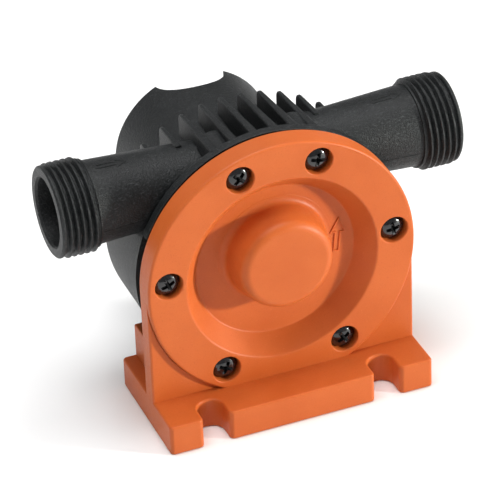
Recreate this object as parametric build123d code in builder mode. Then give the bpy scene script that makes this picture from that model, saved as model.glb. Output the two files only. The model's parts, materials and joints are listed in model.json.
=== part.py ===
from build123d import *
import math
import os

os.makedirs("parts", exist_ok=True)

# Self-priming pump driven by an electric drill: moulded front cover with a slotted foot,
# finned pump housing with two threaded pipes, flexible impeller on a spindle for an 8 mm chuck grip.
# The chamber is round and centred on the cover; the spindle sits above its centre, so the vanes
# are pressed at the top, between the two ports.
# Units mm. +Z up, front cover towards -Y, spindle end towards +Y, pipes along X.
# Origin: centre of the foot's underside.

# ---------------------------------------------------------------- driving dimensions
FOOT_LENGTH = 78.4
FOOT_DEPTH = 37.6
FOOT_HEIGHT = 9.1
SLOT_SPACING = 51.0
SLOT_WIDTH = 7.6
SLOT_END_Y = -10.3

COVER_RADIUS = 39.2
COVER_Z = 43.3
FACE_Y = -7.2
WEB_FACE_Y = -5.7
GUSSET_X = 33.6
GUSSET_THICKNESS = 3.0
GUSSET_TOP_Z = 19.6

SCREW_CIRCLE = 33.3
SCREW_ANGLES = (70, 110, 174, 238, 302, 6)
COUNTERBORE_RADIUS = 4.05
SCREW_SEAT_Y = -4.0
SCREW_HEAD_RADIUS = 3.6
SCREW_SHANK_RADIUS = 1.95
SCREW_END_Y = 11.5

RECESS_RADIUS = 28.1
RECESS_FLOOR_RADIUS = 23.3
RECESS_DEPTH = 5.8
NOSE_RADIUS = 13.2
NOSE_BASE_RADIUS = 14.7
NOSE_END_Y = -11.6

AXIS_Z = 46.5
SPINDLE_RADIUS = 4.5
SPINDLE_FRONT_Y = -8.6
CHUCK_RADIUS = 4.0
CHUCK_START_Y = 47.4
SPINDLE_END_Y = 64.0
RUNNING_GAP = 0.05

FLANGE_RADIUS = 39.0
FLANGE_BACK_Y = 3.6
DRUM_RADIUS = 38.0
DRUM_BACK_Y = 31.0
DRUM_WALL = 2.4
SKIRT_TOP_Z = 54.0
CHAMBER_RADIUS = 27.0
CHAMBER_BACK_Y = 26.0
CORE_RADIUS = 30.6

PIPE_Y = 15.1
PIPE_Z = 64.6
PIPE_END_X = 58.8
THREAD_MAJOR_RADIUS = 13.22
THREAD_PITCH = 1.814
THREAD_LAST_CREST_X = 56.4
THREAD_CRESTS = 5
THREAD_ROOT_RADIUS = 12.06
PIPE_BORE_RADIUS = 9.5

FIN_SPACING = 5.8
FIN_THICKNESS = 1.7
FIN_BACK_Y = 29.5

HOOD_RADIUS = 23.6
HOOD_INNER_RADIUS = 21.8
HOOD_END_Y = 60.5
HOOD_NOTCH_RADIUS = 10.5

HUB_RADIUS = 9.0
HUB_FRONT_Y = 4.5
HUB_BACK_Y = 24.9
IMPELLER_TIP_RADIUS = 23.3
VANE_COUNT = 8
SPIGOT_BACK_Y = 3.3
WEAR_PLATE_THICKNESS = 0.7
BUSH_RADIUS = 6.2
FRONT_BUSH_START_Y = -8.4
FRONT_BUSH_END_Y = 2.6
REAR_BUSH_END_Y = 41.0
CIRCLIP_Y = 44.2
SLINGER_Y = 45.6

SEAL_RING_RADIUS = 29.2
SEAL_RING_SECTION = 0.85


def rear_plane(y):
    """Plane across the pump at depth y; its normal points to the front."""
    return Plane.XZ.offset(-y)


def around_axis():
    """Sketch location of the spindle axis on a plane across the pump."""
    return Locations((0, AXIS_Z))


def around_chamber():
    """Sketch location of the chamber's centre, which is the round cover's too."""
    return Locations((0, COVER_Z))


def screw_positions():
    """Centres of the six cover screws, as (x, z)."""
    points = []
    for angle in SCREW_ANGLES:
        x = SCREW_CIRCLE * math.cos(math.radians(angle))
        z = COVER_Z + SCREW_CIRCLE * math.sin(math.radians(angle))
        points.append((x, z))
    return points


# ---------------------------------------------------------------- front cover with foot
with BuildPart() as front_cover:
    # foot block
    with BuildSketch(Plane.XY):
        RectangleRounded(FOOT_LENGTH, FOOT_DEPTH, 1.2)
    extrude(amount=FOOT_HEIGHT)
    fillet(front_cover.faces().sort_by(Axis.Z)[-1].edges(), radius=0.6)
    # upright web that carries the round cover
    with BuildSketch(rear_plane(0)):
        with Locations((0, (COVER_Z + FOOT_HEIGHT - 2) / 2)):
            Rectangle(2 * COVER_RADIUS, COVER_Z - FOOT_HEIGHT + 2)
        with Locations((0, COVER_Z)):
            Circle(COVER_RADIUS)
        with Locations((0, -COVER_RADIUS)):
            Rectangle(4 * COVER_RADIUS, 2 * COVER_RADIUS + 2 * FOOT_HEIGHT - 2, mode=Mode.SUBTRACT)
    extrude(amount=-WEB_FACE_Y)
    # round face, standing proud of the web's corners
    with BuildSketch(rear_plane(WEB_FACE_Y)):
        with Locations((0, COVER_Z)):
            Circle(COVER_RADIUS)
        with Locations((0, -COVER_RADIUS)):
            Rectangle(4 * COVER_RADIUS, 2 * COVER_RADIUS + 2 * FOOT_HEIGHT - 2, mode=Mode.SUBTRACT)
    extrude(amount=WEB_FACE_Y - FACE_Y)
    # gussets from the web to the back edge of the foot
    with BuildSketch(Plane.XY.offset(FOOT_HEIGHT - 1)):
        with Locations((-GUSSET_X, FOOT_DEPTH / 4), (GUSSET_X, FOOT_DEPTH / 4)):
            Rectangle(GUSSET_THICKNESS, FOOT_DEPTH / 2)
    extrude(amount=GUSSET_TOP_Z - FOOT_HEIGHT + 1)
    # soft front edge of the round face
    rim = front_cover.edges().filter_by(GeomType.CIRCLE).filter_by(
        lambda e: abs(e.radius - COVER_RADIUS) < 0.01 and abs(e.center().Y - FACE_Y) < 0.01)
    fillet(rim, radius=0.9)
    # cradle in the foot for the flange and the drum of the housing
    with BuildSketch(rear_plane(4.0)):
        with Locations((0, COVER_Z)):
            Circle(FLANGE_RADIUS + 0.4)
    extrude(amount=4.0, mode=Mode.SUBTRACT)
    with BuildSketch(rear_plane(FOOT_DEPTH)):
        with Locations((0, COVER_Z)):
            Circle(DRUM_RADIUS + 0.4)
    extrude(amount=FOOT_DEPTH, mode=Mode.SUBTRACT)
    # spigot that centres the cover in the pump chamber
    with BuildSketch(rear_plane(SPIGOT_BACK_Y)):
        with around_chamber():
            Circle(CHAMBER_RADIUS - 0.1)
    extrude(amount=SPIGOT_BACK_Y + 1.7)
    # dished recess with a sloping side
    with BuildSketch(rear_plane(FACE_Y)):
        with around_chamber():
            Circle(RECESS_RADIUS)
    with BuildSketch(rear_plane(FACE_Y + RECESS_DEPTH)):
        with around_chamber():
            Circle(RECESS_FLOOR_RADIUS)
    loft(ruled=True, mode=Mode.SUBTRACT)
    # nose that houses the front bush, standing proud of the round face
    with BuildSketch(rear_plane(FACE_Y + RECESS_DEPTH + 0.2)):
        with around_axis():
            Circle(NOSE_BASE_RADIUS)
    with BuildSketch(rear_plane(NOSE_END_Y)):
        with around_axis():
            Circle(NOSE_RADIUS)
    loft(ruled=True)
    nose_edge = front_cover.edges().filter_by(
        lambda e: e.length > 60 and e.bounding_box().size.Y < 0.01
        and abs(e.center().Y - NOSE_END_Y) < 0.01)
    fillet(nose_edge, radius=1.2)
    # pocket for the front bush, entered from the chamber side
    with BuildSketch(rear_plane(SPIGOT_BACK_Y)):
        with around_axis():
            Circle(BUSH_RADIUS)
    extrude(amount=SPIGOT_BACK_Y - FRONT_BUSH_START_Y + 0.8, mode=Mode.SUBTRACT)
    # screw holes with counterbores
    for x, z in screw_positions():
        with BuildSketch(rear_plane(0.1)):
            with Locations((x, z)):
                Circle(SCREW_SHANK_RADIUS + 0.25)
        extrude(amount=8, mode=Mode.SUBTRACT)
        with BuildSketch(rear_plane(SCREW_SEAT_Y)):
            with Locations((x, z)):
                Circle(COUNTERBORE_RADIUS)
        extrude(amount=4, mode=Mode.SUBTRACT)
    # open slots for the mounting screws
    with BuildSketch(Plane.XY):
        with Locations((-SLOT_SPACING / 2, 0), (SLOT_SPACING / 2, 0)):
            with Locations((0, SLOT_END_Y - SLOT_WIDTH / 2)):
                Circle(SLOT_WIDTH / 2)
            with Locations((0, SLOT_END_Y - SLOT_WIDTH / 2 - 10)):
                Rectangle(SLOT_WIDTH, 20)
    extrude(amount=FOOT_HEIGHT, mode=Mode.SUBTRACT)
    slot_mouths = front_cover.edges().filter_by(Axis.Z).filter_by(
        lambda e: abs(e.center().Y + FOOT_DEPTH / 2) < 0.01 and abs(abs(e.center().X) - SLOT_SPACING / 2) < 5)
    fillet(slot_mouths, radius=1.6)
front_cover.part.label = "front_cover"
export_step(front_cover.part, "parts/front_cover.step")

# ---------------------------------------------------------------- pump housing


def pipe_profile(side):
    """Outline (x, r) of a tapered outlet pipe with its thread; side is -1 or 1."""
    points = [(12, 0), (12, 9.9), (20, 10.3), (47.2, 11.7), (47.4, THREAD_ROOT_RADIUS)]
    half = THREAD_PITCH / 2
    for turn in reversed(range(THREAD_CRESTS)):
        crest = THREAD_LAST_CREST_X - turn * THREAD_PITCH
        points.append((crest - half, THREAD_ROOT_RADIUS))
        points.append((crest - 0.16, THREAD_MAJOR_RADIUS))
        points.append((crest + 0.16, THREAD_MAJOR_RADIUS))
    points.append((THREAD_LAST_CREST_X + half, THREAD_ROOT_RADIUS))
    points.append((THREAD_LAST_CREST_X + half + 0.4, 12.8))
    points.append((PIPE_END_X - 0.5, 12.8))
    points.append((PIPE_END_X, 12.3))
    points.append((PIPE_END_X, 0))
    return [(side * x, r) for x, r in points]


PIPE_AXIS = Axis((0, PIPE_Y, PIPE_Z), (1, 0, 0))
PIPE_PLANE = Plane(origin=(0, PIPE_Y, PIPE_Z), x_dir=(1, 0, 0), z_dir=(0, -1, 0))

with BuildPart() as pump_housing:
    # chamber body and its outer flange
    with BuildSketch(rear_plane(DRUM_BACK_Y)):
        with around_chamber():
            Circle(CORE_RADIUS)
    extrude(amount=DRUM_BACK_Y)
    with BuildSketch(rear_plane(FLANGE_BACK_Y)):
        with Locations((0, COVER_Z)):
            Circle(FLANGE_RADIUS)
    extrude(amount=FLANGE_BACK_Y - 0.8)
    with BuildSketch(rear_plane(FLANGE_BACK_Y)):
        with Locations((0, COVER_Z)):
            Circle(FLANGE_RADIUS - 1.4)
    extrude(amount=FLANGE_BACK_Y)
    # skirt around the lower half, open at the back, with radial ribs
    with BuildSketch(rear_plane(DRUM_BACK_Y)):
        with Locations((0, COVER_Z)):
            Circle(DRUM_RADIUS)
            Circle(DRUM_RADIUS - DRUM_WALL, mode=Mode.SUBTRACT)
        with Locations((0, SKIRT_TOP_Z + 50)):
            Rectangle(100, 100, mode=Mode.SUBTRACT)
    extrude(amount=DRUM_BACK_Y - FLANGE_BACK_Y + 0.5)
    drum_corner = pump_housing.edges().filter_by(GeomType.CIRCLE).filter_by(
        lambda e: abs(e.radius - DRUM_RADIUS) < 0.01 and e.bounding_box().min.Y > DRUM_BACK_Y - 0.01)
    fillet(drum_corner, radius=1.2)
    with BuildSketch(rear_plane(DRUM_BACK_Y - 3)):
        for angle in (190, 214, 238, 262, 278, 302, 326, 350):
            with Locations((0, COVER_Z)):
                with PolarLocations(0, 1, start_angle=angle):
                    with Locations((33.5, 0)):
                        Rectangle(8, 1.6)
    extrude(amount=DRUM_BACK_Y - 3 - FLANGE_BACK_Y + 0.5)
    # cooling fins over the upper half
    for side in (-1, 1):
        for number in range(5):
            x = side * (number + 0.5) * FIN_SPACING
            front_top = COVER_Z + math.sqrt((FLANGE_RADIUS - 0.2) ** 2 - x ** 2)
            back_top = COVER_Z + math.sqrt((FLANGE_RADIUS - 0.4) ** 2 - x ** 2) - 2.4
            with BuildSketch(Plane.YZ.offset(x - FIN_THICKNESS / 2)):
                with BuildLine():
                    Polyline((FLANGE_BACK_Y - 0.5, 58), (FLANGE_BACK_Y - 0.5, front_top),
                             (FIN_BACK_Y, back_top), (FIN_BACK_Y, 58), close=True)
                make_face()
                fillet(vertices().sort_by(Axis.Y)[-2:].sort_by(Axis.Z)[-1], radius=3.2)
            extrude(amount=FIN_THICKNESS)
    # bosses for the cover screws
    with BuildSketch(rear_plane(15.0)):
        with Locations(*screw_positions()):
            Circle(4.5)
    extrude(amount=15.0 - 1.0)
    # drill-side hood around the spindle
    with BuildSketch(rear_plane(HOOD_END_Y)):
        with around_axis():
            Circle(HOOD_RADIUS)
    extrude(amount=HOOD_END_Y - DRUM_BACK_Y + 1)
    with BuildSketch(rear_plane(HOOD_END_Y)):
        with around_axis():
            Circle(HOOD_INNER_RADIUS)
    extrude(amount=HOOD_END_Y - DRUM_BACK_Y, mode=Mode.SUBTRACT)
    with BuildSketch(Plane.XY.offset(AXIS_Z + 8)):
        with Locations((0, HOOD_END_Y + 1.5)):
            Circle(HOOD_NOTCH_RADIUS)
    extrude(amount=30, mode=Mode.SUBTRACT)
    # bearing boss inside the hood, stiffened by four ribs
    with BuildSketch(rear_plane(43.0)):
        with around_axis():
            Circle(9.6)
    extrude(amount=43.0 - DRUM_BACK_Y + 1)
    with BuildSketch(rear_plane(37.0)):
        with around_axis():
            with PolarLocations(0, 4, start_angle=45):
                with Locations((15.5, 0)):
                    Rectangle(13.2, 1.8)
    extrude(amount=37.0 - DRUM_BACK_Y + 1)
    # tapered pipes with threads
    for side in (-1, 1):
        with BuildSketch(PIPE_PLANE):
            with BuildLine():
                Polyline(*pipe_profile(side), close=True)
            make_face()
        revolve(axis=PIPE_AXIS)
    # pump chamber and pipe bores
    with BuildSketch(rear_plane(CHAMBER_BACK_Y)):
        with around_chamber():
            Circle(CHAMBER_RADIUS)
    extrude(amount=CHAMBER_BACK_Y, mode=Mode.SUBTRACT)
    for side in (-1, 1):
        with BuildSketch(PIPE_PLANE):
            with BuildLine():
                Polyline((side * 13, 0), (side * 13, 8.4), (side * (PIPE_END_X + 1), PIPE_BORE_RADIUS),
                         (side * (PIPE_END_X + 1), 0), close=True)
            make_face()
        revolve(axis=PIPE_AXIS, mode=Mode.SUBTRACT)
    # shaft seal pocket, bush bore, seal ring groove, screw pilot holes
    with BuildSketch(rear_plane(DRUM_BACK_Y)):
        with around_axis():
            Circle(8.0)
    extrude(amount=DRUM_BACK_Y - CHAMBER_BACK_Y + 0.5, mode=Mode.SUBTRACT)
    with BuildSketch(rear_plane(43.5)):
        with around_axis():
            Circle(BUSH_RADIUS)
    extrude(amount=14.0, mode=Mode.SUBTRACT)
    with BuildSketch(rear_plane(1.7)):
        with around_chamber():
            Circle(SEAL_RING_RADIUS + SEAL_RING_SECTION + 0.05)
            Circle(SEAL_RING_RADIUS - SEAL_RING_SECTION - 0.05, mode=Mode.SUBTRACT)
    extrude(amount=2.0, mode=Mode.SUBTRACT)
    with BuildSketch(rear_plane(SCREW_END_Y + 1)):
        with Locations(*screw_positions()):
            Circle(SCREW_SHANK_RADIUS + 0.05)
    extrude(amount=SCREW_END_Y + 1.5, mode=Mode.SUBTRACT)
pump_housing.part.label = "pump_housing"
export_step(pump_housing.part, "parts/pump_housing.step")


# ---------------------------------------------------------------- static inner pieces

# round sealing ring between cover and housing
with BuildPart() as cover_seal:
    with BuildSketch(Plane.XY.offset(COVER_Z)):
        with Locations((SEAL_RING_RADIUS, SEAL_RING_SECTION)):
            Circle(SEAL_RING_SECTION)
    revolve(axis=Axis((0, 0, COVER_Z), (0, 1, 0)))
cover_seal.part.label = "cover_seal"
export_step(cover_seal.part, "parts/cover_seal.step")

# cover screws: domed pan head with a cross recess, shank into the housing boss
for number, (screw_x, screw_z) in enumerate(screw_positions(), start=1):
    with BuildPart() as cover_screw:
        with BuildSketch(Plane.YZ.offset(screw_x)):
            with BuildLine():
                Polyline((SCREW_SEAT_Y - 1.0, screw_z + SCREW_HEAD_RADIUS),
                         (SCREW_SEAT_Y, screw_z + SCREW_HEAD_RADIUS),
                         (SCREW_SEAT_Y, screw_z + SCREW_SHANK_RADIUS),
                         (SCREW_END_Y - 1.2, screw_z + SCREW_SHANK_RADIUS),
                         (SCREW_END_Y, screw_z + 0.6),
                         (SCREW_END_Y, screw_z),
                         (SCREW_SEAT_Y - 2.4, screw_z))
                ThreePointArc((SCREW_SEAT_Y - 2.4, screw_z), (SCREW_SEAT_Y - 1.98, screw_z + 2.15),
                              (SCREW_SEAT_Y - 1.0, screw_z + SCREW_HEAD_RADIUS))
            make_face()
        revolve(axis=Axis((screw_x, 0, screw_z), (0, 1, 0)))
        with BuildSketch(rear_plane(SCREW_SEAT_Y - 0.7)):
            with Locations((screw_x, screw_z)):
                Rectangle(3.9, 0.95)
                Rectangle(0.95, 3.9)
        extrude(amount=3, mode=Mode.SUBTRACT)
    cover_screw.part.label = f"cover_screw_{number}"
    export_step(cover_screw.part, f"parts/cover_screw_{number}.step")

# bush in the cover's nose
with BuildPart() as front_bush:
    with BuildSketch(rear_plane(FRONT_BUSH_END_Y)):
        with around_axis():
            Circle(BUSH_RADIUS)
            Circle(SPINDLE_RADIUS + RUNNING_GAP, mode=Mode.SUBTRACT)
    extrude(amount=FRONT_BUSH_END_Y - FRONT_BUSH_START_Y)
front_bush.part.label = "front_bush"
export_step(front_bush.part, "parts/front_bush.step")

# bush in the housing's bearing boss
with BuildPart() as rear_bush:
    with BuildSketch(rear_plane(REAR_BUSH_END_Y)):
        with around_axis():
            Circle(BUSH_RADIUS)
            Circle(SPINDLE_RADIUS + RUNNING_GAP, mode=Mode.SUBTRACT)
    extrude(amount=REAR_BUSH_END_Y - DRUM_BACK_Y)
rear_bush.part.label = "rear_bush"
export_step(rear_bush.part, "parts/rear_bush.step")

# lip seal: rubber ring with a spring groove on the chamber side
with BuildPart() as shaft_seal:
    with BuildSketch(rear_plane(30.8)):
        with around_axis():
            Circle(8.0)
            Circle(SPINDLE_RADIUS + RUNNING_GAP, mode=Mode.SUBTRACT)
    extrude(amount=30.8 - CHAMBER_BACK_Y)
    with BuildSketch(rear_plane(28.0)):
        with around_axis():
            Circle(6.7)
            Circle(5.1, mode=Mode.SUBTRACT)
    extrude(amount=3, mode=Mode.SUBTRACT)
    fillet(shaft_seal.faces().sort_by(Axis.Y)[-1].edges(), radius=0.25)
shaft_seal.part.label = "shaft_seal"
export_step(shaft_seal.part, "parts/shaft_seal.step")

# garter spring that squeezes the seal lip
with BuildPart() as seal_spring:
    with BuildSketch(Plane.XY.offset(AXIS_Z)):
        with Locations((5.68, 27.2)):
            Circle(0.55)
    revolve(axis=Axis((0, 0, AXIS_Z), (0, 1, 0)))
seal_spring.part.label = "seal_spring"
export_step(seal_spring.part, "parts/seal_spring.step")

# steel wear plates on both sides of the impeller
with BuildPart() as front_wear_plate:
    with BuildSketch(rear_plane(SPIGOT_BACK_Y + WEAR_PLATE_THICKNESS)):
        with around_chamber():
            Circle(CHAMBER_RADIUS - 0.1)
        with around_axis():
            Circle(SPINDLE_RADIUS + 0.6, mode=Mode.SUBTRACT)
    extrude(amount=WEAR_PLATE_THICKNESS)
front_wear_plate.part.label = "front_wear_plate"
export_step(front_wear_plate.part, "parts/front_wear_plate.step")

with BuildPart() as rear_wear_plate:
    with BuildSketch(rear_plane(CHAMBER_BACK_Y)):
        with around_chamber():
            Circle(CHAMBER_RADIUS - 0.1)
        with around_axis():
            Circle(SPINDLE_RADIUS + 0.6, mode=Mode.SUBTRACT)
    extrude(amount=WEAR_PLATE_THICKNESS)
rear_wear_plate.part.label = "rear_wear_plate"
export_step(rear_wear_plate.part, "parts/rear_wear_plate.step")

# ---------------------------------------------------------------- turning pieces

# spindle: journal with a circlip groove and a pin hole, and a thinner end for the drill chuck
with BuildPart() as drive_spindle:
    with BuildSketch(rear_plane(CHUCK_START_Y)):
        with around_axis():
            Circle(SPINDLE_RADIUS)
    extrude(amount=CHUCK_START_Y - SPINDLE_FRONT_Y)
    with BuildSketch(rear_plane(SPINDLE_END_Y)):
        with around_axis():
            Circle(CHUCK_RADIUS)
    extrude(amount=SPINDLE_END_Y - CHUCK_START_Y)
    end_edges = drive_spindle.edges().filter_by(GeomType.CIRCLE).sort_by(Axis.Y)
    chamfer([end_edges[0], end_edges[-1]], length=0.6)
    with BuildSketch(rear_plane(CIRCLIP_Y + 0.9)):
        with around_axis():
            Circle(SPINDLE_RADIUS + 1)
            Circle(SPINDLE_RADIUS - 0.35, mode=Mode.SUBTRACT)
    extrude(amount=0.9, mode=Mode.SUBTRACT)
    with BuildSketch(Plane.YZ.offset(-6)):
        with Locations((14.7, AXIS_Z)):
            Circle(1.25)
    extrude(amount=12, mode=Mode.SUBTRACT)
drive_spindle.part.label = "drive_spindle"
export_step(drive_spindle.part, "parts/drive_spindle.step")

# moulded hub pinned to the spindle
with BuildPart() as impeller_hub:
    with BuildSketch(rear_plane(HUB_BACK_Y)):
        with around_axis():
            Circle(HUB_RADIUS)
            Circle(SPINDLE_RADIUS, mode=Mode.SUBTRACT)
            with PolarLocations(HUB_RADIUS, 6):
                Circle(0.9, mode=Mode.SUBTRACT)
    extrude(amount=HUB_BACK_Y - HUB_FRONT_Y)
    with BuildSketch(Plane.YZ.offset(-HUB_RADIUS - 1)):
        with Locations((14.7, AXIS_Z)):
            Circle(1.25)
    extrude(amount=2 * HUB_RADIUS + 2, mode=Mode.SUBTRACT)
impeller_hub.part.label = "impeller_hub"
export_step(impeller_hub.part, "parts/impeller_hub.step")

# cross pin through hub and spindle
with BuildPart() as drive_pin:
    with BuildSketch(Plane.YZ.offset(-HUB_RADIUS + 1.1)):
        with Locations((14.7, AXIS_Z)):
            Circle(1.25)
    extrude(amount=2 * HUB_RADIUS - 2.2)
drive_pin.part.label = "drive_pin"
export_step(drive_pin.part, "parts/drive_pin.step")

# rubber impeller: sleeve over the hub and straight vanes with thick tips
with BuildPart() as impeller:
    with BuildSketch(rear_plane(HUB_BACK_Y)):
        with around_axis():
            Circle(HUB_RADIUS + 3.4)
            with PolarLocations(0, VANE_COUNT, start_angle=22.5):
                with Locations((15.5, 0)):
                    Rectangle(11, 2.0)
                with Locations((IMPELLER_TIP_RADIUS - 1.6, 0)):
                    Circle(1.6)
            Circle(HUB_RADIUS, mode=Mode.SUBTRACT)
            with PolarLocations(HUB_RADIUS, 6):
                Circle(0.85)
    extrude(amount=HUB_BACK_Y - HUB_FRONT_Y)
    roots = impeller.edges().filter_by(Axis.Y).filter_by(
        lambda e: abs(math.hypot(e.center().X, e.center().Z - AXIS_Z) - HUB_RADIUS - 3.4) < 0.1)
    fillet(roots, radius=0.9)
impeller.part.label = "impeller"
export_step(impeller.part, "parts/impeller.step")

# thrust washer, circlip and slinger ring on the spindle behind the bearing
with BuildPart() as thrust_washer:
    with BuildSketch(rear_plane(CIRCLIP_Y)):
        with around_axis():
            Circle(7.6)
            Circle(SPINDLE_RADIUS, mode=Mode.SUBTRACT)
    extrude(amount=0.8)
thrust_washer.part.label = "thrust_washer"
export_step(thrust_washer.part, "parts/thrust_washer.step")

with BuildPart() as circlip:
    with BuildSketch(rear_plane(CIRCLIP_Y + 0.85)):
        with around_axis():
            Circle(5.8)
            Circle(SPINDLE_RADIUS - 0.35, mode=Mode.SUBTRACT)
        with Locations((0, AXIS_Z - 5)):
            Rectangle(5.0, 5.0, mode=Mode.SUBTRACT)
        with Locations((-3.6, AXIS_Z - 5.0), (3.6, AXIS_Z - 5.0)):
            Circle(1.5)
        with Locations((-3.6, AXIS_Z - 5.0), (3.6, AXIS_Z - 5.0)):
            Circle(0.6, mode=Mode.SUBTRACT)
    extrude(amount=0.85)
circlip.part.label = "circlip"
export_step(circlip.part, "parts/circlip.step")

with BuildPart() as slinger_ring:
    with BuildSketch(rear_plane(SLINGER_Y + 1.8)):
        with around_axis():
            Circle(9.4)
            Circle(SPINDLE_RADIUS, mode=Mode.SUBTRACT)
    extrude(amount=1.8)
    fillet(slinger_ring.edges().filter_by(GeomType.CIRCLE).filter_by(lambda e: e.radius > 9), radius=0.5)
slinger_ring.part.label = "slinger_ring"
export_step(slinger_ring.part, "parts/slinger_ring.step")
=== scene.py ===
import json
import math

import bmesh
import bpy
import numpy as np
from mathutils import Matrix, Vector


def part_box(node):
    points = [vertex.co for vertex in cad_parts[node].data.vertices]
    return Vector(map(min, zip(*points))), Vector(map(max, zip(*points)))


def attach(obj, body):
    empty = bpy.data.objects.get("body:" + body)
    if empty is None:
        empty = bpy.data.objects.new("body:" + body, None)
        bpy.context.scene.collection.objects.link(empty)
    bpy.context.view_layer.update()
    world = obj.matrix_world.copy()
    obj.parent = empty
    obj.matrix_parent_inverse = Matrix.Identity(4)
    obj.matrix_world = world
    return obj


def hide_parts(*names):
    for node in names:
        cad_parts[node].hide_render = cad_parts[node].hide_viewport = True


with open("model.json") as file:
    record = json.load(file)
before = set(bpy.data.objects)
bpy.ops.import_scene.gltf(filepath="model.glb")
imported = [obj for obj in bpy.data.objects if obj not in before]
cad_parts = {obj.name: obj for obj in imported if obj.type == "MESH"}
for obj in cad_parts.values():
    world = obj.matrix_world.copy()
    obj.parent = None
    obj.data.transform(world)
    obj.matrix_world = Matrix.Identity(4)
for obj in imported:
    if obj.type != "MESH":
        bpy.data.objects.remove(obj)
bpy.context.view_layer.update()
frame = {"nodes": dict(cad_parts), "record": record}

# Drill-driven transfer pump: an orange moulded cover on a slotted foot, a black finned housing with
# two threaded pipes, and six screws. Shapes are built in millimetres and piece() scales them to metres.
# Y points from the cover to the drill, and Z up. The pieces inside keep their CAD shapes.
MM = 0.001
ON_AXIS = 0.001  # radius of a turned profile's end points, which close it on its axis


# ---------------------------------------------------------------- sizes from the frame

def box_mm(node):
    """Lowest and highest corner of a CAD node, in millimetres."""
    low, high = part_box(node)
    return low / MM, high / MM


cover_low, cover_high = box_mm("front_cover")
housing_low, housing_high = box_mm("pump_housing")
spindle_low, spindle_high = box_mm("drive_spindle")

COVER_RADIUS = cover_high.x
COVER_Z = cover_high.z - COVER_RADIUS
FOOT_HALF = cover_high.x
FOOT_FRONT_Y = cover_low.y
FOOT_BACK_Y = cover_high.y
AXIS_Z = (spindle_low.z + spindle_high.z) / 2
PIPE_END_X = housing_high.x
HOOD_END_Y = housing_high.y

# cover: foot, web and gussets
FOOT_HEIGHT = 9.1
FACE_Y = -7.2
WEB_FACE_Y = -5.7
SLOT_X = 25.5
SLOT_RADIUS = 3.8
SLOT_CENTRE_Y = -14.1
GUSSET_X = 33.6
GUSSET_THICKNESS = 3.0
GUSSET_TOP_Z = 19.6
CRADLE_GAP = 0.4
DISC_GROOVE_WIDTH = 0.32
DISC_GROOVE_DEPTH = 0.5

# cover: disc, recess, nose and arrow
RECESS_RADIUS = 28.1
FLOOR_RADIUS = 23.3
FLOOR_Y = FACE_Y + 5.8
NOSE_RADIUS = 13.2
NOSE_BASE_RADIUS = 14.7
NOSE_Y = -11.6
ARROW_TIP = (19.0, 51.3)
ARROW_TAIL = (18.0, 41.0)
SPIGOT_RADIUS = 26.9
SPIGOT_Y = 3.3
BUSH_POCKET_RADIUS = 6.2
BUSH_POCKET_Y = -9.2

# screws
COUNTERBORE = 4.0
COUNTERBORE_ROUND = 0.45
SCREW_SEAT_Y = -4.0
SCREW_HEAD = 3.82
SCREW_CROWN = 2.6
SCREW_SHANK = 1.95
SCREW_TURNS = (12, 40, 68, 25, 55, 80)

# housing: flange, drum, chamber, bosses and ribs
FLANGE_RADIUS = 39.0
FLANGE_BACK_Y = 3.6
FLANGE_LIP_Y = 0.8
FLANGE_LIP_RADIUS = FLANGE_RADIUS - 1.4
DRUM_RADIUS = 38.0
DRUM_BACK_Y = 31.0
DRUM_WALL = 2.4
SKIRT_TOP_Z = 54.0
SKIRT_FRONT_TOP_Z = 63.0
SKIRT_STEP_Y = 11.5
CORE_RADIUS = 30.6
CHAMBER_RADIUS = 27.0
CHAMBER_BACK_Y = 26.0
SCREW_BOSS_RADIUS = 4.5
SCREW_BOSS_Y = 13.5
BEARING_BOSS_RADIUS = 9.6
BEARING_BOSS_Y = 43.0
SEAL_POCKET_RADIUS = 8.0
SKIRT_RIB_ANGLES = (190, 214, 238, 262, 278, 302, 326, 350)
HOOD_RIB_ANGLES = (45, 135, 225, 315)

# housing: fins and hood
FIN_SPACING = 5.8
FIN_FRONT_THICKNESS = 2.7
FIN_BACK_THICKNESS = 1.05
FIN_TIPS_RADIUS = 43.0
FIN_TIPS_Z = 36.5
FIN_BACK_Y = 29.5
HOOD_RADIUS = 23.6
HOOD_INNER = 21.8
NOTCH_RADIUS = 10.5

# housing: pipes
PIPE_Y = 15.1
PIPE_Z = 64.6
BORE_RADIUS = 9.5
THREAD_MAJOR = 13.22
THREAD_ROOT = 12.06
THREAD_PITCH = 1.814
THREAD_START_X = 47.2
THREAD_END_X = 57.3


# ---------------------------------------------------------------- outline and mesh helpers

def round_corners(points, closed=True, steps=4):
    """Outline through (u, v, radius) corners, each corner turned into an arc."""
    outline = []
    count = len(points)
    for i, (u, v, radius) in enumerate(points):
        corner = np.array((u, v), float)
        if radius <= 0 or (not closed and i in (0, count - 1)):
            outline.append(corner)
            continue
        before = np.array(points[i - 1][:2], float) - corner
        after = np.array(points[(i + 1) % count][:2], float) - corner
        before /= np.linalg.norm(before)
        after /= np.linalg.norm(after)
        half = math.acos(float(np.clip(before @ after, -1, 1))) / 2
        turn = math.pi - 2 * half
        if turn < 0.02:
            outline.append(corner)
            continue
        centre = corner + (before + after) / np.linalg.norm(before + after) * radius / math.sin(half)
        start = corner + before * radius / math.tan(half) - centre
        end = corner + after * radius / math.tan(half) - centre
        for k in range(steps + 1):
            t = k / steps
            arm = (math.sin((1 - t) * turn) * start + math.sin(t * turn) * end) / math.sin(turn)
            outline.append(centre + arm)
    return [tuple(p) for p in outline]


def held(profile, gap=0.3):
    """Profile with extra points just inside the ends of its long straights, to keep flats flat."""
    points = [profile[0]]
    for (a, b), (c, d) in zip(profile, profile[1:]):
        length = math.hypot(c - a, d - b)
        if length > 3 * gap:
            t = gap / length
            points += [(a + (c - a) * t, b + (d - b) * t), (c - (c - a) * t, d - (d - b) * t)]
        points.append((c, d))
    return points


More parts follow.
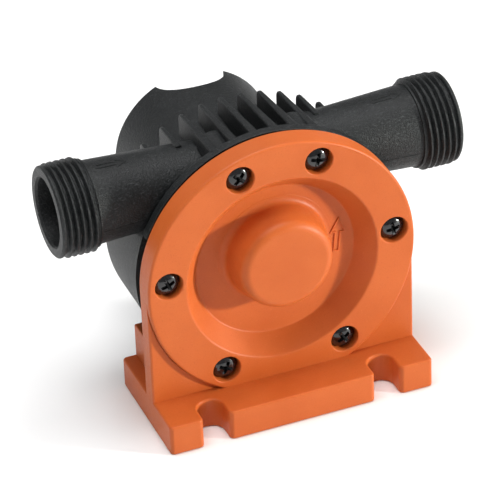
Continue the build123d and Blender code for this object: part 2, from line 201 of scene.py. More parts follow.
def circle(u, v, radius, count=48):
    """Round outline."""
    return [(u + radius * math.cos(a), v + radius * math.sin(a))
            for a in np.linspace(0, 2 * math.pi, count, endpoint=False)]


def mesh_from(vertices, faces):
    """Mesh from lists, with its faces turned outwards."""
    mesh = bpy.data.meshes.new("part")
    mesh.from_pydata([tuple(v) for v in vertices], [], faces)
    work = bmesh.new()
    work.from_mesh(mesh)
    bmesh.ops.remove_doubles(work, verts=work.verts, dist=1e-5)
    bmesh.ops.recalc_face_normals(work, faces=work.faces)
    work.to_mesh(mesh)
    work.free()
    return mesh


def skin(rings, looped=False):
    """Closed mesh over rings of equal length; the ends are capped unless the rings loop round."""
    count = len(rings[0])
    vertices = [p for ring in rings for p in ring]
    faces = []
    pairs = [(i, i + 1) for i in range(len(rings) - 1)]
    if looped:
        pairs.append((len(rings) - 1, 0))
    for a, b in pairs:
        for j in range(count):
            k = (j + 1) % count
            faces.append((a * count + j, a * count + k, b * count + k, b * count + j))
    if not looped:
        faces.append(tuple(range(count)))
        faces.append(tuple((len(rings) - 1) * count + j for j in range(count)))
    return mesh_from(vertices, faces)


def turned(profile, z=None, x=0.0, segments=96, looped=False):
    """Round piece about an axis along Y at (x, z), from a profile of (y, r)."""
    z = AXIS_Z if z is None else z
    angles = np.linspace(0, 2 * math.pi, segments, endpoint=False)
    rings = [[(x + r * math.cos(a), y, z + r * math.sin(a)) for a in angles] for y, r in profile]
    return skin(rings, looped)


def place(axis, u, v, w):
    """Point from an outline's (u, v) and its height w along an axis."""
    return {"X": (w, u, v), "Y": (u, w, v), "Z": (u, v, w)}[axis]


def prism(outline, low, high, axis, edge=0.0, segments=3):
    """Outline pushed out along an axis, with both rims rounded by edge."""
    work = bmesh.new()
    bottom = [work.verts.new(place(axis, u, v, low)) for u, v in outline]
    top = [work.verts.new(place(axis, u, v, high)) for u, v in outline]
    count = len(outline)
    work.faces.new(bottom)
    work.faces.new(top)
    for j in range(count):
        k = (j + 1) % count
        work.faces.new((bottom[j], bottom[k], top[k], top[j]))
    bmesh.ops.recalc_face_normals(work, faces=work.faces)
    if edge:
        rims = [e for e in work.edges if {e.verts[0] in bottom, e.verts[1] in bottom} != {True, False}]
        bmesh.ops.bevel(work, geom=rims, offset=edge, segments=segments, profile=0.5,
                        affect="EDGES", clamp_overlap=True)
    mesh = bpy.data.meshes.new("part")
    work.to_mesh(mesh)
    work.free()
    return mesh


def combine(base, operation, others):
    """Base mesh joined with, or cut by, other meshes."""
    scene = bpy.context.scene.collection
    target = bpy.data.objects.new("target", base)
    group = bpy.data.collections.new("operands")
    scene.objects.link(target)
    scene.children.link(group)
    tools = [bpy.data.objects.new("tool", mesh) for mesh in others]
    for tool in tools:
        group.objects.link(tool)
    step = target.modifiers.new("combine", "BOOLEAN")
    step.operation = operation
    step.solver = "MANIFOLD"
    step.operand_type = "COLLECTION"
    step.collection = group
    bpy.context.view_layer.update()
    graph = bpy.context.evaluated_depsgraph_get()
    result = bpy.data.meshes.new_from_object(target.evaluated_get(graph))
    for item in [target, *tools]:
        bpy.data.objects.remove(item)
    bpy.data.collections.remove(group)
    return result


def piece(name, mesh, material, body, replaced, sharp_angle=32):
    """Shown object from a mesh in millimetres, riding on a body and standing for CAD nodes."""
    mesh.transform(Matrix.Scale(MM, 4))
    mesh.name = name
    mesh.materials.clear()
    mesh.materials.append(material)
    mesh.shade_smooth()
    mesh.set_sharp_from_angle(angle=math.radians(sharp_angle))
    shown = bpy.data.objects.new(name, mesh)
    bpy.context.scene.collection.objects.link(shown)
    even = shown.modifiers.new("even_normals", "WEIGHTED_NORMAL")
    even.keep_sharp = True
    even.weight = 60
    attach(shown, body)
    if replaced:
        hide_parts(*replaced)
    return shown


# ---------------------------------------------------------------- materials

class Finish:
    """Node material with a Principled shader and short calls for its texture nodes."""

    def __init__(self, name, roughness=0.5, metallic=0.0, specular=0.5):
        self.material = bpy.data.materials.new(name)
        self.material.use_nodes = True
        self.tree = self.material.node_tree
        self.shader = self.tree.nodes["Principled BSDF"]
        self.shader.inputs["Roughness"].default_value = roughness
        self.shader.inputs["Metallic"].default_value = metallic
        self.shader.inputs["Specular IOR Level"].default_value = specular
        self.place = self.tree.nodes.new("ShaderNodeTexCoord").outputs["Object"]

    def node(self, kind, links=(), **values):
        """Adds a node, sets its inputs and properties, and links sockets to its inputs."""
        made = self.tree.nodes.new(kind)
        for key, value in values.items():
            if key in made.inputs:
                made.inputs[key].default_value = value
            else:
                setattr(made, key, value)
        for key, socket in dict(links).items():
            self.tree.links.new(socket, made.inputs[key])
        return made

    def stretched(self, scale):
        """Object coordinates stretched by a scale on each axis."""
        return self.node("ShaderNodeMapping", {"Vector": self.place}, Scale=scale).outputs[0]

    def noise(self, scale, detail=2.0, rough=0.5, where=None):
        """Noise value; scale is in features per metre."""
        made = self.node("ShaderNodeTexNoise", {"Vector": where or self.place},
                         Scale=scale, Detail=detail, Roughness=rough)
        return made.outputs[0]

    def cells(self, scale):
        """Voronoi distance; scale is in cells per metre."""
        made = self.node("ShaderNodeTexVoronoi", {"Vector": self.place}, Scale=scale, feature="F1")
        return made.outputs["Distance"]

    def remap(self, value, low, high, to_low, to_high):
        """Value moved from one range to another, held at its ends."""
        made = self.tree.nodes.new("ShaderNodeMapRange")
        for i, number in zip(range(1, 5), (low, high, to_low, to_high)):
            made.inputs[i].default_value = number
        self.tree.links.new(value, made.inputs[0])
        return made.outputs[0]

    def blend(self, share, first, second):
        """Colour between two colours or sockets."""
        made = self.tree.nodes.new("ShaderNodeMix")
        made.data_type = "RGBA"
        self.tree.links.new(share, made.inputs["Factor"])
        for key, colour in ((6, first), (7, second)):
            if isinstance(colour, tuple):
                made.inputs[key].default_value = (*colour, 1)
            else:
                self.tree.links.new(colour, made.inputs[key])
        return made.outputs[2]

    def math(self, operation, a, b):
        """Math node of two sockets or numbers."""
        made = self.tree.nodes.new("ShaderNodeMath")
        made.operation = operation
        for i, value in enumerate((a, b)):
            if isinstance(value, (int, float)):
                made.inputs[i].default_value = value
            else:
                self.tree.links.new(value, made.inputs[i])
        return made.outputs[0]

    def colour(self, socket):
        self.tree.links.new(socket, self.shader.inputs["Base Color"])

    def roughness(self, socket):
        self.tree.links.new(socket, self.shader.inputs["Roughness"])

    def bump(self, height, distance, strength=1.0, under=None):
        """Bump of a height field; distance is in metres. Returns the normal for a further bump."""
        made = self.node("ShaderNodeBump", {"Height": height}, Strength=strength, Distance=distance)
        if under:
            self.tree.links.new(under, made.inputs["Normal"])
        self.tree.links.new(made.outputs[0], self.shader.inputs["Normal"])
        return made.outputs[0]


def orange_plastic():
    """Satin moulded orange: fine texture, slight flow mottling and faint scratches."""
    finish = Finish("orange_plastic", roughness=0.42, specular=0.24)
    cloud = finish.noise(60, detail=3)
    mottle = finish.blend(finish.remap(cloud, 0.35, 0.65, 0, 1),
                          (0.505, 0.102, 0.019), (0.555, 0.120, 0.025))
    fleck = finish.remap(finish.noise(2600, detail=2), 0.58, 0.72, 0, 0.45)
    speckled = finish.blend(fleck, mottle, (0.43, 0.078, 0.016))
    pale = finish.remap(finish.noise(1900, detail=3, rough=0.6), 0.62, 0.76, 0, 0.35)
    finish.colour(finish.blend(pale, speckled, (0.66, 0.19, 0.06)))
    grain = finish.noise(3800, detail=3, rough=0.6)
    scratch = finish.noise(900, detail=4, where=finish.stretched((0.15, 1, 1.6)))
    finish.roughness(finish.remap(finish.math("ADD", cloud, scratch), 0.7, 1.3, 0.36, 0.50))
    fine = finish.bump(grain, 0.00006, 0.55)
    finish.bump(cloud, 0.0004, 0.10, under=fine)
    finish.shader.inputs["Subsurface Weight"].default_value = 0.12
    finish.shader.inputs["Subsurface Radius"].default_value = (0.9, 0.25, 0.06)
    finish.shader.inputs["Subsurface Scale"].default_value = 0.0012
    return finish.material


def black_plastic():
    """Glass-filled black: grainy surface with pale specks and fibres along the flow."""
    finish = Finish("black_plastic", roughness=0.55, specular=0.36)
    cloud = finish.noise(45, detail=4)
    base = finish.blend(finish.remap(cloud, 0.3, 0.7, 0, 1),
                        (0.0028, 0.0034, 0.0038), (0.0068, 0.0080, 0.0086))
    grain = finish.noise(2300, detail=3, rough=0.65)
    speck = finish.remap(grain, 0.52, 0.66, 0, 0.7)
    streaks = finish.noise(2600, detail=1, where=finish.stretched((0.35, 1, 1)))
    fibre = finish.remap(streaks, 0.62, 0.74, 0, 0.5)
    grainy = finish.blend(speck, base, (0.033, 0.036, 0.038))
    finish.colour(finish.blend(fibre, grainy, (0.070, 0.075, 0.078)))
    finish.roughness(finish.remap(grain, 0.3, 0.7, 0.36, 0.56))
    coarse = finish.bump(grain, 0.00024, 0.9)
    pebble = finish.bump(finish.noise(1150, detail=1), 0.0002, 0.45, under=coarse)
    finish.bump(cloud, 0.0005, 0.12, under=pebble)
    return finish.material


def black_screw():
    """Glossy black coated steel."""
    finish = Finish("screw_black", roughness=0.16, specular=0.5)
    film = finish.noise(700, detail=3)
    finish.colour(finish.blend(finish.remap(film, 0.35, 0.65, 0, 1),
                               (0.003, 0.003, 0.004), (0.009, 0.008, 0.010)))
    finish.roughness(finish.remap(film, 0.3, 0.7, 0.12, 0.24))
    finish.bump(finish.noise(1800, detail=2), 0.00003, 0.25)
    finish.shader.inputs["Coat Weight"].default_value = 0.5
    finish.shader.inputs["Coat Roughness"].default_value = 0.10
    return finish.material


def turned_steel(name, pale, dark, stretch):
    """Steel with fine machining lines across the stretched axis."""
    finish = Finish(name, roughness=0.3, metallic=1.0)
    lines = finish.noise(5200, detail=3, where=finish.stretched(stretch))
    stain = finish.noise(180, detail=4)
    lined = finish.blend(finish.remap(lines, 0.3, 0.7, 0, 1), dark, pale)
    finish.colour(finish.blend(finish.remap(stain, 0.55, 0.8, 0, 0.5), lined,
                               tuple(c * 0.55 for c in dark)))
    finish.roughness(finish.remap(lines, 0.3, 0.7, 0.22, 0.42))
    finish.bump(lines, 0.00002, 0.5)
    return finish.material


def bronze():
    """Oil-filled sintered bronze, pitted all over."""
    finish = Finish("sintered_bush", roughness=0.45, metallic=1.0)
    pits = finish.cells(2600)
    finish.colour(finish.blend(finish.remap(pits, 0.1, 0.6, 0, 1),
                               (0.22, 0.13, 0.05), (0.62, 0.42, 0.20)))
    finish.roughness(finish.remap(pits, 0.1, 0.6, 0.62, 0.36))
    finish.bump(pits, 0.00005, 0.5)
    return finish.material


def rubber(name, shade):
    """Matt black rubber with a dusty bloom."""
    finish = Finish(name, roughness=0.75, specular=0.35)
    bloom = finish.noise(260, detail=5)
    grain = finish.noise(4200, detail=2)
    pale = tuple(c * 2.2 for c in shade)
    finish.colour(finish.blend(finish.remap(bloom, 0.4, 0.75, 0, 0.8), shade, pale))
    finish.roughness(finish.remap(bloom, 0.3, 0.7, 0.62, 0.85))
    finish.bump(grain, 0.00005, 0.5)
    return finish.material


def grey_plastic():
    """Pale grey moulded plastic."""
    finish = Finish("grey_plastic", roughness=0.5)
    cloud = finish.noise(120, detail=4)
    finish.colour(finish.blend(finish.remap(cloud, 0.3, 0.7, 0, 1),
                               (0.27, 0.28, 0.29), (0.38, 0.39, 0.40)))
    finish.roughness(finish.remap(cloud, 0.3, 0.7, 0.42, 0.58))
    finish.bump(finish.noise(3200, detail=2), 0.00005, 0.5)
    return finish.material


MATERIALS = {
    "orange_plastic": orange_plastic(),
    "black_plastic": black_plastic(),
    "screw_black": black_screw(),
    "black_rubber": rubber("black_rubber", (0.012, 0.012, 0.013)),
    "impeller_rubber": rubber("impeller_rubber", (0.018, 0.018, 0.019)),
    "spindle_steel": turned_steel("spindle_steel", (0.66, 0.66, 0.64), (0.44, 0.44, 0.43),
                                  (0.05, 1, 0.05)),
    "spring_steel": turned_steel("spring_steel", (0.42, 0.43, 0.46), (0.24, 0.25, 0.28), (1, 1, 1)),
    "stainless": turned_steel("stainless", (0.72, 0.72, 0.71), (0.52, 0.52, 0.52), (0.04, 1, 1)),
    "sintered_bush": bronze(),
    "grey_plastic": grey_plastic(),
}


def dress_cad_nodes():
    """Gives every CAD node the procedural material of its slot."""
    for part in frame["record"]["subparts"]:
        mesh = frame["nodes"][part["node"]].data
        finish = MATERIALS[part["material_slot"]]
        if len(mesh.materials):
            for i in range(len(mesh.materials)):
                mesh.materials[i] = finish
        else:
            mesh.materials.append(finish)


# ---------------------------------------------------------------- cover and screws

def screw_centres():
    """Name, x and z of each cover screw, from the frame."""
    centres = []
    for node in sorted(n for n in frame["nodes"] if n.startswith("cover_screw")):
        low, high = box_mm(node)
        centres.append((node, (low.x + high.x) / 2, (low.z + high.z) / 2))
    return centres


def cover_disc():
    """Round face with its rounded rim, sloping recess and flat floor."""
    side = round_corners([(SPIGOT_Y, ON_AXIS, 0), (SPIGOT_Y, SPIGOT_RADIUS, 0.4),
                          (0, SPIGOT_RADIUS, 0), (0, COVER_RADIUS, 0.5),
                          (FACE_Y, COVER_RADIUS, 0.7), (FACE_Y, RECESS_RADIUS, 0.9),
                          (FLOOR_Y, FLOOR_RADIUS, 0.7), (FLOOR_Y, ON_AXIS, 0)], closed=False, steps=5)
    return turned(held(side), z=COVER_Z, segments=192)


def nose():
    """Boss for the front bush, standing proud of the face, with a soft rim and a blended foot."""
    skirt_radius = NOSE_BASE_RADIUS + 2.2
    side = round_corners([(SPIGOT_Y - 0.5, ON_AXIS, 0), (SPIGOT_Y - 0.5, skirt_radius, 0),
                          (FLOOR_Y + 0.1, skirt_radius, 0), (FLOOR_Y - 0.05, NOSE_BASE_RADIUS + 2.0, 0),
                          (FLOOR_Y - 0.05, NOSE_BASE_RADIUS, 1.9), (NOSE_Y, NOSE_RADIUS, 2.7),
                          (NOSE_Y, ON_AXIS, 0)], closed=False, steps=8)
    return turned(held(side), segments=128)


def rotation_arrow():
    """Raised arrow beside the nose that shows which way the spindle turns."""
    strokes = []
    half_line, lift = 0.19, 0.3
    half_shaft, half_head, head_length = 0.75, 2.1, 4.4
    tip, tail = np.array(ARROW_TIP), np.array(ARROW_TAIL)
    run = tip - tail
    along = run / float(np.hypot(*run))
    across = np.array((along[1], -along[0]))
    neck = tip - along * head_length
    corners = [tail - across * half_shaft, neck - across * half_shaft, neck - across * half_head, tip,
               neck + across * half_head, neck + across * half_shaft, tail + across * half_shaft]
    for first, second in zip(corners, corners[1:] + corners[:1]):
        step = (second - first) / np.linalg.norm(second - first)
        side = np.array((-step[1], step[0])) * half_line
        a, b = first - step * half_line, second + step * half_line
        outline = [tuple(a - side), tuple(b - side), tuple(b + side), tuple(a + side)]
        strokes.append(prism(outline, FLOOR_Y - lift, FLOOR_Y + 0.5, "Y", edge=0.06, segments=1))
    return combine(strokes[0], "UNION", strokes[1:])


def foot():
    """Foot plate with two open slots."""
    corners = [(-FOOT_HALF, FOOT_BACK_Y, 1.2), (-FOOT_HALF, FOOT_FRONT_Y, 1.2)]
    slot_end_y = SLOT_CENTRE_Y + SLOT_RADIUS
    for x in (-SLOT_X, SLOT_X):
        left, right = x - SLOT_RADIUS, x + SLOT_RADIUS
        corners += [(left, FOOT_FRONT_Y, 1.4), (left, slot_end_y, 3.6),
                    (right, slot_end_y, 3.6), (right, FOOT_FRONT_Y, 1.4)]
    corners += [(FOOT_HALF, FOOT_FRONT_Y, 1.2), (FOOT_HALF, FOOT_BACK_Y, 1.2)]
    return prism(round_corners(corners, steps=6), 0, FOOT_HEIGHT, "Z", edge=0.6)


def cradled_foot():
    """Foot with its two gussets, cut to cradle the housing with a small gap."""
    back = FOOT_BACK_Y - 0.05
    gussets = []
    for x in (-GUSSET_X, GUSSET_X):
        side = round_corners([(-1.0, FOOT_HEIGHT - 1.5, 0), (back, FOOT_HEIGHT - 1.5, 0),
                              (back, GUSSET_TOP_Z, 1.0), (-1.0, GUSSET_TOP_Z, 0)])
        gussets.append(prism(side, x - GUSSET_THICKNESS / 2, x + GUSSET_THICKNESS / 2, "X", edge=0.4))
    base = combine(foot(), "UNION", gussets)
    flange_room, drum_room = FLANGE_RADIUS + CRADLE_GAP, DRUM_RADIUS + CRADLE_GAP
    flange_end = FLANGE_BACK_Y + CRADLE_GAP
    cradle = turned([(-0.03, ON_AXIS), (-0.03, flange_room), (flange_end, flange_room),
                     (flange_end, drum_room), (FOOT_BACK_Y + 2, drum_room), (FOOT_BACK_Y + 2, ON_AXIS)],
                    z=COVER_Z, segments=160)
    return combine(base, "DIFFERENCE", [cradle])


def web():
    """Flat web between foot and disc, with a fine groove round the disc."""
    half = FOOT_HALF - 0.03
    outline = round_corners([(-half, WEB_FACE_Y, 0.7), (half, WEB_FACE_Y, 0.7),
                             (half, 0, 0.5), (-half, 0, 0.5)])
    plate = prism(outline, FOOT_HEIGHT - 2.0, COVER_Z + 0.02, "Z")
    groove_radius, groove_floor_y = COVER_RADIUS + DISC_GROOVE_WIDTH, WEB_FACE_Y + DISC_GROOVE_DEPTH
    inner_radius = COVER_RADIUS - 2.5
    opening = turned([(WEB_FACE_Y - 2, ON_AXIS), (WEB_FACE_Y - 2, groove_radius),
                      (groove_floor_y, groove_radius), (groove_floor_y, inner_radius),
                      (2, inner_radius), (2, ON_AXIS)], z=COVER_Z, segments=160)
    return combine(plate, "DIFFERENCE", [opening])


def screw_hole(x, z):
    """Cutter for one screw's clearance hole and its counterbore with a rounded mouth."""
    hole = SCREW_SHANK + 0.25
    mouth = COUNTERBORE + COUNTERBORE_ROUND
    side = [(0.6, ON_AXIS), (0.6, hole), (SCREW_SEAT_Y, hole), (SCREW_SEAT_Y, COUNTERBORE)]
    side += [(FACE_Y + 0.42 - COUNTERBORE_ROUND * math.sin(a), mouth - COUNTERBORE_ROUND * math.cos(a))
             for a in np.linspace(0, math.pi / 2, 6)]
    side += [(FACE_Y - 2, mouth), (FACE_Y - 2, ON_AXIS)]
    return turned(side, z=z, x=x, segments=64)


def front_cover():
    """Whole cover: cradled foot, web, disc, nose and arrow joined, then the holes cut."""
    whole = combine(cradled_foot(), "UNION", [web(), cover_disc(), nose(), rotation_arrow()])
    holes = [screw_hole(x, z) for _, x, z in screw_centres()]
    holes.append(turned([(SPIGOT_Y + 0.5, ON_AXIS), (SPIGOT_Y + 0.5, BUSH_POCKET_RADIUS),
                         (BUSH_POCKET_Y, BUSH_POCKET_RADIUS), (BUSH_POCKET_Y, ON_AXIS)], segments=64))
    return combine(whole, "DIFFERENCE", holes)


def cover_screw():
    """Pan-head screw on the Y axis, with a tapered cross recess and thread crests on its shank."""
    thread_depth = 0.45
    crown = [(SCREW_SEAT_Y - SCREW_CROWN + 1.6 * (r / SCREW_HEAD) ** 2.6, r)
             for r in np.linspace(ON_AXIS, 3.5, 14)]
    side = round_corners([crown[-1] + (0,), (SCREW_SEAT_Y - 0.75, SCREW_HEAD, 0.35),
                          (SCREW_SEAT_Y, SCREW_HEAD, 0.12),
                          (SCREW_SEAT_Y, SCREW_SHANK - thread_depth, 0)], closed=False, steps=4)
    shank = [(SCREW_SEAT_Y + 0.6 + 0.05 * i, SCREW_SHANK - (thread_depth if (i // 4) % 4 else 0.0))
             for i in range(0, 280, 4)]
    tip = [(10.6, SCREW_SHANK - 0.5), (11.5, 0.5), (11.5, ON_AXIS)]
    solid = turned([*crown, *side[1:], *shank, *tip], z=0.0, segments=96)
    wings = []
    for turn in (0, math.pi / 2):
        rings = []
        for y, length, width in ((SCREW_SEAT_Y - 3.2, 2.20, 0.62), (SCREW_SEAT_Y - 2.3, 2.02, 0.52),
                                 (SCREW_SEAT_Y - 1.2, 1.25, 0.40), (SCREW_SEAT_Y - 0.55, 0.45, 0.30)):
            corners = round_corners([(-length, -width, 0.2), (length, -width, 0.2),
                                     (length, width, 0.2), (-length, width, 0.2)], steps=2)
            ring = []
            for u, v in corners:
                a = u * math.cos(turn) - v * math.sin(turn)
                b = u * math.sin(turn) + v * math.cos(turn)
                ring.append((a, y, b))
            rings.append(ring)
        wings.append(skin(rings))
    return combine(solid, "DIFFERENCE", wings)


# ---------------------------------------------------------------- housing

def pipe(side):
    """Tapered solid pipe with a right-hand thread and an end ring."""
    segments = 192
    angles = np.linspace(0, 2 * math.pi, segments, endpoint=False)
    rings = []

    def ring(x, radius):
        """Ring at distance x; radius is a number or one per angle."""
        radii = np.broadcast_to(radius, angles.shape)
        rings.append([(side * x, PIPE_Y + r * math.cos(a), PIPE_Z + r * math.sin(a))
                      for a, r in zip(angles, radii)])

    ring(12.0, ON_AXIS)
    for x, radius in ((12.0, 9.9), (20.0, 10.3), (33.6, 11.0), (THREAD_START_X - 0.25, 11.68)):
        ring(x, radius)
    ring(THREAD_START_X, 11.72)
    ring(THREAD_START_X + 0.05, THREAD_ROOT + 0.25)
    ring(THREAD_START_X + 0.45, THREAD_ROOT + 0.30)
    steps = int((THREAD_END_X - THREAD_START_X - 0.5) / THREAD_PITCH * 12)
    for x in np.linspace(THREAD_START_X + 0.5, THREAD_END_X, steps):
        phase = (x / THREAD_PITCH - side * angles / (2 * math.pi)) % 1.0
        tooth = np.clip((0.42 - np.abs(phase - 0.5)) / 0.30, 0, 1)
        fade = min(1.0, (x - THREAD_START_X - 0.4) / 0.9, (THREAD_END_X + 0.1 - x) / 0.6)
        ring(x, THREAD_ROOT + (THREAD_MAJOR - THREAD_ROOT) * tooth * max(fade, 0.0))
    end = round_corners([(THREAD_END_X + 0.1, THREAD_ROOT, 0), (THREAD_END_X + 0.45, 12.85, 0.15),
                         (PIPE_END_X - 0.45, 12.85, 0.2), (PIPE_END_X, 12.35, 0.2),
                         (PIPE_END_X, ON_AXIS, 0.0)], closed=False, steps=3)
    for x, radius in end:
        ring(x, radius)
    return skin(rings)


def pipe_bore(side):
    """Cutter for a pipe's tapered bore, from the chamber to its chamfered mouth."""
    profile = [(13.0, ON_AXIS), (13.0, 8.4), (35.0, 8.9), (PIPE_END_X - 4.0, BORE_RADIUS - 0.1),
               (PIPE_END_X - 0.8, BORE_RADIUS), (PIPE_END_X - 0.6, BORE_RADIUS + 0.1),
               (PIPE_END_X + 1.0, BORE_RADIUS + 1.25), (PIPE_END_X + 1.0, ON_AXIS)]
    return skin([[(side * x, y, z) for y, z in circle(PIPE_Y, PIPE_Z, radius, 160)]
                 for x, radius in profile])


def fin(x):
    """Upright cooling fin, thinner towards its rounded rear corner; outer fins start behind the pipes."""
    depth = FIN_BACK_Y - FLANGE_BACK_Y
    front = FLANGE_BACK_Y - 0.7 if abs(x) < 17 else PIPE_Y
    front_top = COVER_Z + math.sqrt((FLANGE_RADIUS - 0.2) ** 2 - x ** 2)
    back_top = FIN_TIPS_Z + math.sqrt(FIN_TIPS_RADIUS ** 2 - x ** 2)
    front_top += (back_top - front_top) * (front - FLANGE_BACK_Y) / depth
    outline = round_corners([(front, 53, 0), (front, front_top, 0),
                             (FIN_BACK_Y, back_top, 2.4), (FIN_BACK_Y, 53, 0)], steps=6)
    half = FIN_FRONT_THICKNESS / 2
    mesh = prism(outline, x - half, x + half, "X", edge=0.7)
    draft = (FIN_FRONT_THICKNESS - FIN_BACK_THICKNESS) / FIN_FRONT_THICKNESS
    for vertex in mesh.vertices:
        vertex.co.x = x + (vertex.co.x - x) * (1 - draft * (vertex.co.y - FLANGE_BACK_Y) / depth)
    return mesh


def skirt():
    """Lower part of the drum: a shell open at the back, level on top, higher in front of the pipes."""
    inner = DRUM_RADIUS - DRUM_WALL
    shell = round_corners([(FLANGE_BACK_Y - 0.6, DRUM_RADIUS, 0), (DRUM_BACK_Y, DRUM_RADIUS, 1.3),
                           (DRUM_BACK_Y, inner, 0.5), (FLANGE_BACK_Y - 0.6, inner, 0)], steps=5)
    ring = turned(shell, z=COVER_Z, segments=192, looped=True)
    front = prism([(-60, -5), (60, -5), (60, SKIRT_STEP_Y + 1), (-60, SKIRT_STEP_Y + 1)],
                  SKIRT_FRONT_TOP_Z, SKIRT_FRONT_TOP_Z + 60, "Z")
    back = prism([(-60, SKIRT_STEP_Y), (60, SKIRT_STEP_Y), (60, 60), (-60, 60)],
                 SKIRT_TOP_Z, SKIRT_TOP_Z + 60, "Z")
    return combine(ring, "DIFFERENCE", [front, back])


def shadow_groove():
    """Cutter for the deep groove between the cover and the skirt, below the pipes."""
    front_y, back_y, top_z = 0.75, 3.05, 58.0
    inner, outer = FLANGE_RADIUS - 2.2, FLANGE_RADIUS + 3
    ring = turned([(front_y, inner), (front_y, outer), (back_y, outer), (back_y, inner)],
                  z=COVER_Z, segments=192, looped=True)
    above = prism([(-60, -5), (60, -5), (60, 20), (-60, 20)], top_z, top_z + 60, "Z")
    return combine(ring, "DIFFERENCE", [above])


def radial_rib(angle, low, high, front, back, width, z):
    """Flat rib between two radii at an angle round (0, z)."""
    half = width / 2
    corners = [(low, -half), (high, -half), (high, half), (low, half)]
    turn = math.radians(angle)
    outline = [(u * math.cos(turn) - v * math.sin(turn), z + u * math.sin(turn) + v * math.cos(turn))
               for u, v in corners]
    return prism(outline, front, back, "Y", edge=0.25)


def hood():
    """Drill-side hood with a round notch in its top and soft rims."""
    side = round_corners([(DRUM_BACK_Y - 0.8, HOOD_RADIUS, 0), (HOOD_END_Y, HOOD_RADIUS, 0.45),
                          (HOOD_END_Y, HOOD_INNER, 0.45), (DRUM_BACK_Y - 0.4, HOOD_INNER, 0)], steps=4)
    shell = turned(side, segments=192, looped=True)
    notch = prism(circle(0, HOOD_END_Y + 1.5, NOTCH_RADIUS, 96), AXIS_Z + 8, AXIS_Z + 40, "Z")
    return combine(shell, "DIFFERENCE", [notch])


def on_pipe(side, x, w, lift, lean):
    """Point on a pipe's outside: distance x, arc length w from the lean's line, height above the skin."""
    radius = 10.3 + (x - 20.0) / (THREAD_START_X - 20.0) * 1.4 + lift
    angle = lean + w / 11.0
    return (side * x, PIPE_Y + radius * math.cos(angle), PIPE_Z + radius * math.sin(angle))


def flow_arrow(side):
    """Raised outline of an arrow on top of a pipe, into the left one and out of the right one."""
    half, head, line = 0.75, 1.65, 0.3
    start, neck, tip = 36.0, 41.6, 44.8
    slant = line * math.hypot(tip - neck, head) / head
    outer = [(start, -half), (neck, -half), (neck, -head), (tip, 0),
             (neck, head), (neck, half), (start, half)]
    inner = [(start + line, -half + line), (neck + line, -half + line),
             (neck + line, -head + line * 1.7), (tip - slant, 0), (neck + line, head - line * 1.7),
             (neck + line, half - line), (start + line, half - line)]
    lean = math.radians(97)
    rings = []
    for outline, lift in ((outer, -0.3), (outer, 0.16), (inner, 0.16), (inner, -0.3)):
        rings.append([on_pipe(side, x if side > 0 else start + tip - x, w, lift, lean)
                      for x, w in outline])
    return skin(rings, looped=True)


def parting_line(side, angle):
    """Fine moulding ridge along a pipe."""
    section = ((-0.13, -0.2), (0.13, -0.2), (0.05, 0.09), (-0.05, 0.09))
    return skin([[on_pipe(side, x, w, lift, angle) for w, lift in section]
                 for x in np.linspace(27.0, THREAD_START_X - 0.2, 6)])


def flange():
    """Round flange behind the cover, with a shallow lip that leaves a joint line."""
    side = round_corners([(0.0, ON_AXIS, 0), (0.0, FLANGE_LIP_RADIUS, 0.1),
                          (FLANGE_LIP_Y, FLANGE_LIP_RADIUS, 0), (FLANGE_LIP_Y, FLANGE_RADIUS, 0.3),
                          (FLANGE_BACK_Y, FLANGE_RADIUS, 0.3), (FLANGE_BACK_Y, ON_AXIS, 0)], closed=False)
    return turned(side, z=COVER_Z, segments=192)


def screw_boss(x, z):
    """Boss that takes one cover screw."""
    side = round_corners([(1.0, ON_AXIS, 0), (1.0, SCREW_BOSS_RADIUS, 0),
                          (SCREW_BOSS_Y, SCREW_BOSS_RADIUS, 0.6), (SCREW_BOSS_Y, ON_AXIS, 0)],
                         closed=False)
    return turned(side, z=z, x=x, segments=48)


def bearing_boss():
    """Boss inside the hood that holds the rear bush."""
    front = DRUM_BACK_Y - 1
    side = round_corners([(front, ON_AXIS, 0), (front, BEARING_BOSS_RADIUS, 0),
                          (BEARING_BOSS_Y, BEARING_BOSS_RADIUS, 0.5), (BEARING_BOSS_Y, ON_AXIS, 0)],
                         closed=False)
    return turned(side, segments=96)


def housing_cuts():
    """Cutters for the chamber, seal pocket, bush bore, pipe bores, shadow groove and screw holes."""
    cuts = [turned([(-1, ON_AXIS), (-1, CHAMBER_RADIUS),
                    (CHAMBER_BACK_Y, CHAMBER_RADIUS), (CHAMBER_BACK_Y, ON_AXIS)],
                   z=COVER_Z, segments=128),
            turned([(CHAMBER_BACK_Y - 1, ON_AXIS), (CHAMBER_BACK_Y - 1, SEAL_POCKET_RADIUS),
                    (DRUM_BACK_Y, SEAL_POCKET_RADIUS), (DRUM_BACK_Y, BUSH_POCKET_RADIUS),
                    (BEARING_BOSS_Y + 1, BUSH_POCKET_RADIUS), (BEARING_BOSS_Y + 1, ON_AXIS)],
                   segments=64),
            pipe_bore(-1), pipe_bore(1), shadow_groove()]
    pilot, depth = 2.0, 12.5
    for _, x, z in screw_centres():
        cuts.append(turned([(-1, ON_AXIS), (-1, pilot), (depth, pilot), (depth, ON_AXIS)],
                           z=z, x=x, segments=24))
    return cuts


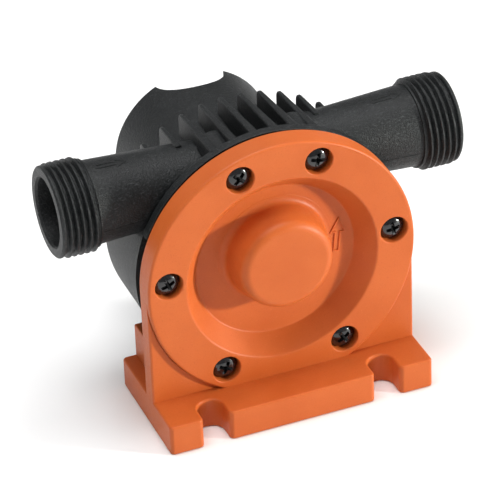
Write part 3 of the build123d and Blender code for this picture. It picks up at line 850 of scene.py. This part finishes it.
def pump_housing():
    """Whole housing: core, flange, skirt, hood, pipes, fins, bosses, ribs and marks joined, then cut."""
    core = turned([(0.5, ON_AXIS), (0.5, CORE_RADIUS),
                   (DRUM_BACK_Y, CORE_RADIUS), (DRUM_BACK_Y, ON_AXIS)], z=COVER_Z, segments=128)
    parts = [flange(), skirt(), hood(), pipe(-1), pipe(1)]
    for number in range(5):
        for side in (-1, 1):
            parts.append(fin(side * (number + 0.5) * FIN_SPACING))
    parts += [screw_boss(x, z) for _, x, z in screw_centres()]
    for angle in SKIRT_RIB_ANGLES:
        parts.append(radial_rib(angle, 29.5, 37.0, 2.5, DRUM_BACK_Y - 3, 1.6, COVER_Z))
    for angle in HOOD_RIB_ANGLES:
        parts.append(radial_rib(angle, 7.0, HOOD_INNER + 0.8, DRUM_BACK_Y - 1, 37.0, 1.8, AXIS_Z))
    parts.append(bearing_boss())
    for side in (-1, 1):
        parts.append(flow_arrow(side))
        parts.append(parting_line(side, math.pi + 0.25))
    return combine(combine(core, "UNION", parts), "DIFFERENCE", housing_cuts())


# ---------------------------------------------------------------- floor, light and camera

def soft_light(name, position, target, size, power, colour=(1, 1, 1)):
    """Square area light aimed at a point, all in metres."""
    lamp = bpy.data.lights.new(name, "AREA")
    lamp.size = size
    lamp.energy = power
    lamp.color = colour
    made = bpy.data.objects.new(name, lamp)
    made.location = position
    made.rotation_mode = "QUATERNION"
    made.rotation_quaternion = (Vector(target) - Vector(position)).to_track_quat("-Z", "Y")
    bpy.context.scene.collection.objects.link(made)
    return made


def studio():
    """Pale floor, white surroundings, a key light from the right, soft lights above and left."""
    ground = bpy.data.meshes.new("floor")
    reach = 6.0
    ground.from_pydata([(-reach, -reach, 0), (reach, -reach, 0), (reach, reach, 0), (-reach, reach, 0)],
                       [], [(0, 1, 2, 3)])
    floor = bpy.data.objects.new("floor", ground)
    floor.location.z = -0.00002  # a hair below the foot, so the two faces don't share a plane
    bpy.context.scene.collection.objects.link(floor)
    finish = Finish("floor_white", roughness=0.9, specular=0.1)
    finish.colour(finish.blend(finish.noise(3, detail=2), (0.93, 0.93, 0.93), (0.95, 0.95, 0.95)))
    ground.materials.append(finish.material)

    world = bpy.data.worlds.new("studio")
    world.use_nodes = True
    world.node_tree.nodes["Background"].inputs["Color"].default_value = (1, 1, 1, 1)
    world.node_tree.nodes["Background"].inputs["Strength"].default_value = 0.27
    bpy.context.scene.world = world

    centre = Vector((0, 0.01, 0.045))
    to_key = Vector((0.83, -0.55, 0.14)).normalized()
    soft_light("key", centre + to_key * 1.3, centre, 0.10, 19.5, (0.97, 1.0, 0.94))
    soft_light("top", centre + Vector((-0.1, 0.05, 1.2)), centre, 0.9, 17)
    soft_light("left_fill", centre + Vector((-1.2, -0.9, 0.6)), centre, 0.9, 1.2)


def camera():
    """Long-lens camera at the front left, looking down on the pump."""
    azimuth, elevation, roll = (math.radians(a) for a in (-20.95, 33.07, -2.34))
    distance = 0.900
    target = Vector((-0.00674, 0, 0.04707))
    back = Vector((math.sin(azimuth) * math.cos(elevation), -math.cos(azimuth) * math.cos(elevation),
                   math.sin(elevation)))
    right = Vector((0, 0, 1)).cross(back).normalized()
    up = back.cross(right)
    rolled_right = math.cos(roll) * right + math.sin(roll) * up
    rolled_up = -math.sin(roll) * right + math.cos(roll) * up
    data = bpy.data.cameras.new("camera")
    data.sensor_width = 36
    data.lens = 237.86
    data.clip_start = 0.05
    data.clip_end = 50
    made = bpy.data.objects.new("camera", data)
    pose = Matrix((rolled_right, rolled_up, back)).transposed().to_4x4()
    pose.translation = target + back * distance
    made.matrix_world = pose
    bpy.context.scene.collection.objects.link(made)
    bpy.context.scene.camera = made


# ---------------------------------------------------------------- the pump

dress_cad_nodes()
piece("cover", front_cover(), MATERIALS["orange_plastic"], "pump_body",
      ["front_cover"])
piece("housing", pump_housing(), MATERIALS["black_plastic"], "pump_body",
      ["pump_housing"])
head = cover_screw()
for number, (node, screw_x, screw_z) in enumerate(screw_centres(), start=1):
    turn = Matrix.Rotation(math.radians(SCREW_TURNS[number - 1]), 4, "Y")
    placed = head.copy()
    placed.transform(Matrix.Translation((screw_x, 0, screw_z)) @ turn)
    piece(f"screw_{number}", placed, MATERIALS["screw_black"],
          "pump_body", [node], sharp_angle=40)
studio()
camera()
bpy.context.scene.view_settings.view_transform = "Standard"
